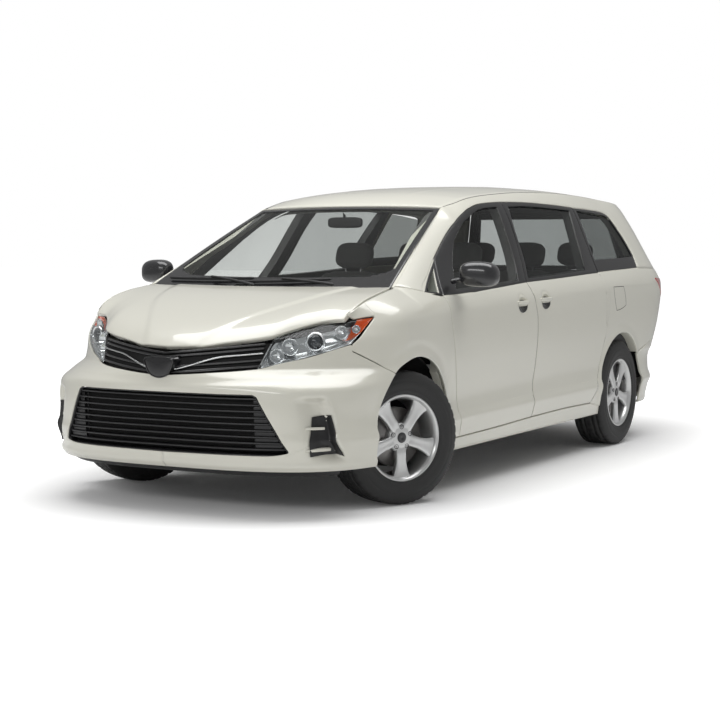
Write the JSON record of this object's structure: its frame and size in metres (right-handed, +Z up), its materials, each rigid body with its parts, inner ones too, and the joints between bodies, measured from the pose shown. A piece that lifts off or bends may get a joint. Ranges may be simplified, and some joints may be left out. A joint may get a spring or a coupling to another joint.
{
  "type": "minivan",
  "caption": "Seven-seat minivan with sliding side doors, hinged front doors, hood and liftgate, hollow cabin and steered front wheels.",
  "frame": {"origin": "on the ground, at mid-length, on the centre line", "axes": "+X forward, +Y to the vehicle's left, +Z up"},
  "size_m": [5.0945, 2.39, 1.75],
  "materials": {
    "pearl_paint": "cream pearl clear coat over steel",
    "clear_glass": "clear safety glass",
    "tinted_glass": "dark tinted safety glass",
    "black_plastic": "black moulded plastic",
    "lamp_lens": "clear moulded lens",
    "red_lens": "red moulded lens",
    "underbody_steel": "dark primed steel",
    "chassis_iron": "coated iron",
    "engine_alloy": "cast alloy",
    "exhaust_steel": "heat-dulled steel",
    "seat_cloth": "woven grey cloth",
    "cabin_plastic": "grained plastic",
    "tyre_rubber": "black rubber",
    "alloy": "silver lacquered alloy"
  },
  "bodies": {
    "body": {"roof_panel": "pearl_paint", "body_side_left": "pearl_paint", "body_side_right": "pearl_paint", "sliding_door_left": "pearl_paint", "sliding_door_right": "pearl_paint", "front_fenders": "pearl_paint", "front_bumper": "pearl_paint", "rear_bumper": "pearl_paint", "windshield": "clear_glass", "side_glass": "tinted_glass", "cowl": "black_plastic", "grilles": "black_plastic", "headlamps": "lamp_lens", "tail_lamps": "red_lens", "floor_pan": "underbody_steel", "front_structure": "underbody_steel", "front_subframe": "chassis_iron", "front_struts": "chassis_iron", "rear_axle": "chassis_iron", "engine_block": "engine_alloy", "fuel_tank": "black_plastic", "exhaust": "exhaust_steel", "front_seats": "seat_cloth", "rear_seats": "seat_cloth", "dashboard": "cabin_plastic"},
    "hood_body": {"hood": "pearl_paint"},
    "door_left": {"front_door_left": "pearl_paint", "front_door_glass_left": "clear_glass", "mirror_left": "black_plastic"},
    "door_right": {"front_door_right": "pearl_paint", "front_door_glass_right": "clear_glass", "mirror_right": "black_plastic"},
    "gate": {"liftgate": "pearl_paint", "liftgate_glass": "tinted_glass"},
    "steer_left": {"knuckle_left": "chassis_iron"},
    "steer_right": {"knuckle_right": "chassis_iron"},
    "wheel_front_left": {"tyre_front_left": "tyre_rubber", "rim_front_left": "alloy"},
    "wheel_front_right": {"tyre_front_right": "tyre_rubber", "rim_front_right": "alloy"},
    "wheel_rear_left": {"tyre_rear_left": "tyre_rubber", "rim_rear_left": "alloy"},
    "wheel_rear_right": {"tyre_rear_right": "tyre_rubber", "rim_rear_right": "alloy"},
    "steering": {"steering_wheel": "cabin_plastic"}
  },
  "joints": [
    {"name": "hood_hinge", "type": "hinge", "parent": "body", "child": "hood_body", "pos_m": [1.475, 0, 1.15], "axis": [0, -1, 0], "range_deg": [0, 50]},
    {"name": "front_door_left_hinge", "type": "hinge", "parent": "body", "child": "door_left", "pos_m": [1.148, 0.984, 0.8], "axis": [0, 0, -1], "range_deg": [0, 65]},
    {"name": "front_door_right_hinge", "type": "hinge", "parent": "body", "child": "door_right", "pos_m": [1.148, -0.984, 0.8], "axis": [0, 0, 1], "range_deg": [0, 65]},
    {"name": "liftgate_hinge", "type": "hinge", "parent": "body", "child": "gate", "pos_m": [-2.17, 0, 1.69], "axis": [0, 1, 0], "range_deg": [0, 80]},
    {"name": "steer_left_turn", "type": "hinge", "parent": "body", "child": "steer_left", "pos_m": [1.592, 0.79, 0.357], "axis": [0, 0, 1], "range_deg": [-10, 62]},
    {"name": "steer_right_turn", "type": "hinge", "parent": "body", "child": "steer_right", "pos_m": [1.592, -0.79, 0.357], "axis": [0, 0, 1], "range_deg": [-10, 62]},
    {"name": "wheel_front_left_spin", "type": "hinge", "parent": "steer_left", "child": "wheel_front_left", "pos_m": [1.62269, 0.85292, 0.357], "axis": [0.4384, 0.8988, 0], "continuous": true},
    {"name": "wheel_front_right_spin", "type": "hinge", "parent": "steer_right", "child": "wheel_front_right", "pos_m": [1.56131, -0.85292, 0.357], "axis": [0.4384, 0.8988, 0], "continuous": true},
    {"name": "wheel_rear_left_spin", "type": "hinge", "parent": "body", "child": "wheel_rear_left", "pos_m": [-1.438, 0.86, 0.357], "axis": [0, 1, 0], "continuous": true},
    {"name": "wheel_rear_right_spin", "type": "hinge", "parent": "body", "child": "wheel_rear_right", "pos_m": [-1.438, -0.86, 0.357], "axis": [0, 1, 0], "continuous": true},
    {"name": "steering_wheel_turn", "type": "hinge", "parent": "body", "child": "steering", "pos_m": [0.76, 0.39, 0.985], "axis": [-0.9, 0, 0.436], "range_deg": [-150, 930]}
  ],
  "couplings": [
    {"joint": "steer_right_turn", "follows": "steer_left_turn", "ratio": 1},
    {"joint": "steering_wheel_turn", "follows": "steer_left_turn", "ratio": 15}
  ]
}
